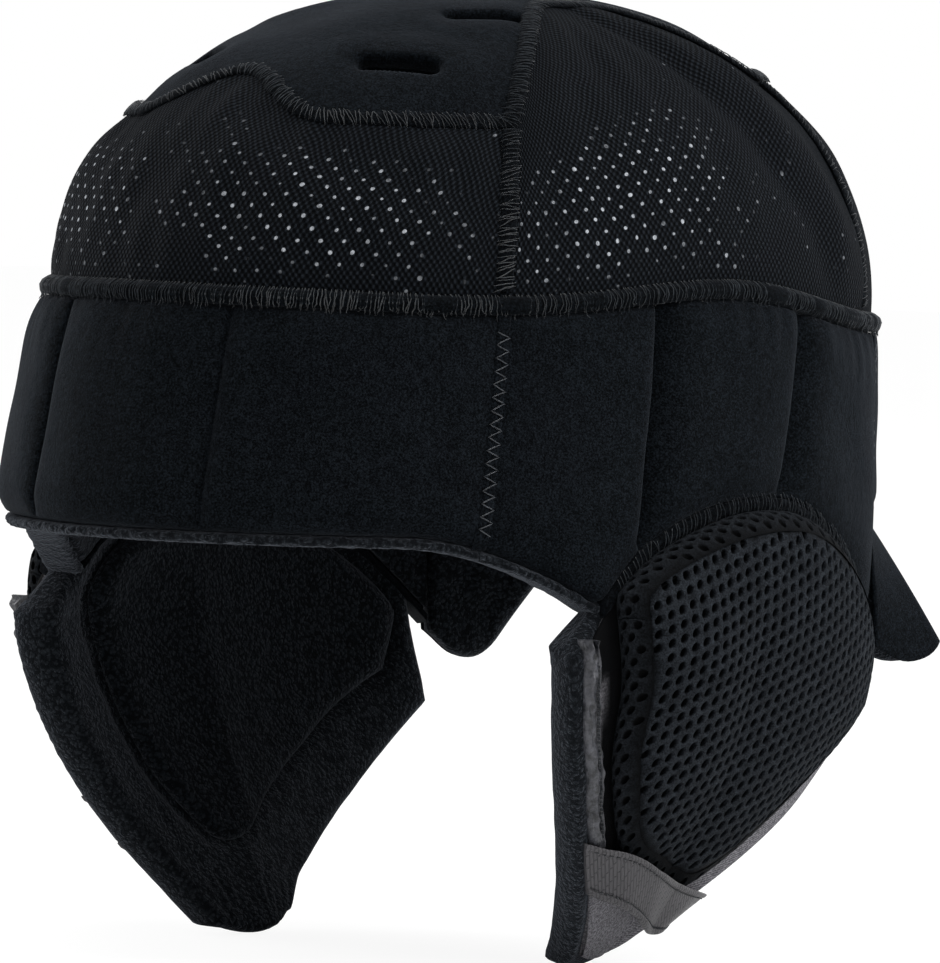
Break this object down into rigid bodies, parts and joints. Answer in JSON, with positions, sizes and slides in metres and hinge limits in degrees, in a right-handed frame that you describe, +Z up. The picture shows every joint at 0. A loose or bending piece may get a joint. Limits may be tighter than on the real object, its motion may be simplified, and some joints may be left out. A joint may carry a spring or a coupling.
{
  "type": "padded helmet liner",
  "caption": "Soft black winter cap liner for a riding helmet: padded headband, vented mesh crown, padded ear flaps with a strap loop each, and nape lobes.",
  "frame": {"origin": "centre of the head opening, level with the band's lower edge at the forehead", "axes": "+Z up towards the crown, -Y the way the wearer looks, +X the wearer's left"},
  "size_m": [0.192, 0.2144, 0.2097],
  "materials": {
    "velour": "matte",
    "fleece": "matte",
    "crown_mesh": "matte",
    "spacer_mesh": "matte",
    "softshell": "satin",
    "coated_tape": "satin",
    "foam": "matte",
    "thread": "matte"
  },
  "bodies": {
    "headband": {"band_cover_front": "velour", "band_cover_left": "velour", "band_cover_right": "velour", "nape_cover": "velour", "zigzag_seam_left": "thread", "zigzag_seam_right": "thread", "nape_seam_left": "thread", "nape_seam_right": "thread", "front_hem": "fleece", "nape_hem": "fleece", "band_lining": "fleece", "nape_lining": "fleece", "foam_forehead": "foam", "foam_temple_left": "foam", "foam_temple_right": "foam", "foam_ear_left": "foam", "foam_ear_right": "foam", "foam_side_left": "foam", "foam_side_right": "foam", "foam_rear_left": "foam", "foam_rear_right": "foam", "foam_nape": "foam", "band_top_seam": "thread", "mesh_front": "crown_mesh", "mesh_left": "crown_mesh", "mesh_right": "crown_mesh", "mesh_rear": "crown_mesh", "mesh_seam_front_left": "thread", "mesh_seam_front_right": "thread", "mesh_seam_rear_left": "thread", "mesh_seam_rear_right": "thread", "crown_pad_cover": "velour", "crown_pad_foam": "foam", "crown_pad_lining": "fleece", "crown_pad_seam": "thread"},
    "ear_flap_left": {"flap_shell_left": "softshell", "flap_foam_left": "foam", "flap_lining_left": "fleece", "inner_pad_left": "fleece", "cushion_face_left": "spacer_mesh", "cushion_gusset_left": "softshell", "cushion_foam_left": "foam", "edge_tape_left": "coated_tape", "strap_loop_left": "coated_tape"},
    "ear_flap_right": {"flap_shell_right": "softshell", "flap_foam_right": "foam", "flap_lining_right": "fleece", "inner_pad_right": "fleece", "cushion_face_right": "spacer_mesh", "cushion_gusset_right": "softshell", "cushion_foam_right": "foam", "edge_tape_right": "coated_tape", "strap_loop_right": "coated_tape"},
    "nape_lobe_left": {"lobe_cover_left": "velour", "lobe_lining_left": "fleece"},
    "nape_lobe_right": {"lobe_cover_right": "velour", "lobe_lining_right": "fleece"}
  },
  "joints": [
    {"name": "ear_flap_left_fold", "type": "hinge", "parent": "headband", "child": "ear_flap_left", "pos_m": [0.0841, 0.008, 0.008], "axis": [0, -1, 0], "range_deg": [0, 60], "stiffness_Nm_per_rad": 0.05, "springref_deg": -8.59},
    {"name": "ear_flap_right_fold", "type": "hinge", "parent": "headband", "child": "ear_flap_right", "pos_m": [-0.0841, 0.008, 0.008], "axis": [0, 1, 0], "range_deg": [0, 60], "stiffness_Nm_per_rad": 0.05, "springref_deg": -8.59},
    {"name": "nape_lobe_left_fold", "type": "hinge", "parent": "headband", "child": "nape_lobe_left", "pos_m": [0.0551, 0.0831, 0.0017], "axis": [0.7083, -0.7059, 0], "range_deg": [0, 60], "stiffness_Nm_per_rad": 0.01, "springref_deg": -8.59},
    {"name": "nape_lobe_right_fold", "type": "hinge", "parent": "headband", "child": "nape_lobe_right", "pos_m": [-0.0551, 0.0831, 0.0017], "axis": [0.7083, 0.7059, 0], "range_deg": [0, 60], "stiffness_Nm_per_rad": 0.01, "springref_deg": -8.59}
  ]
}
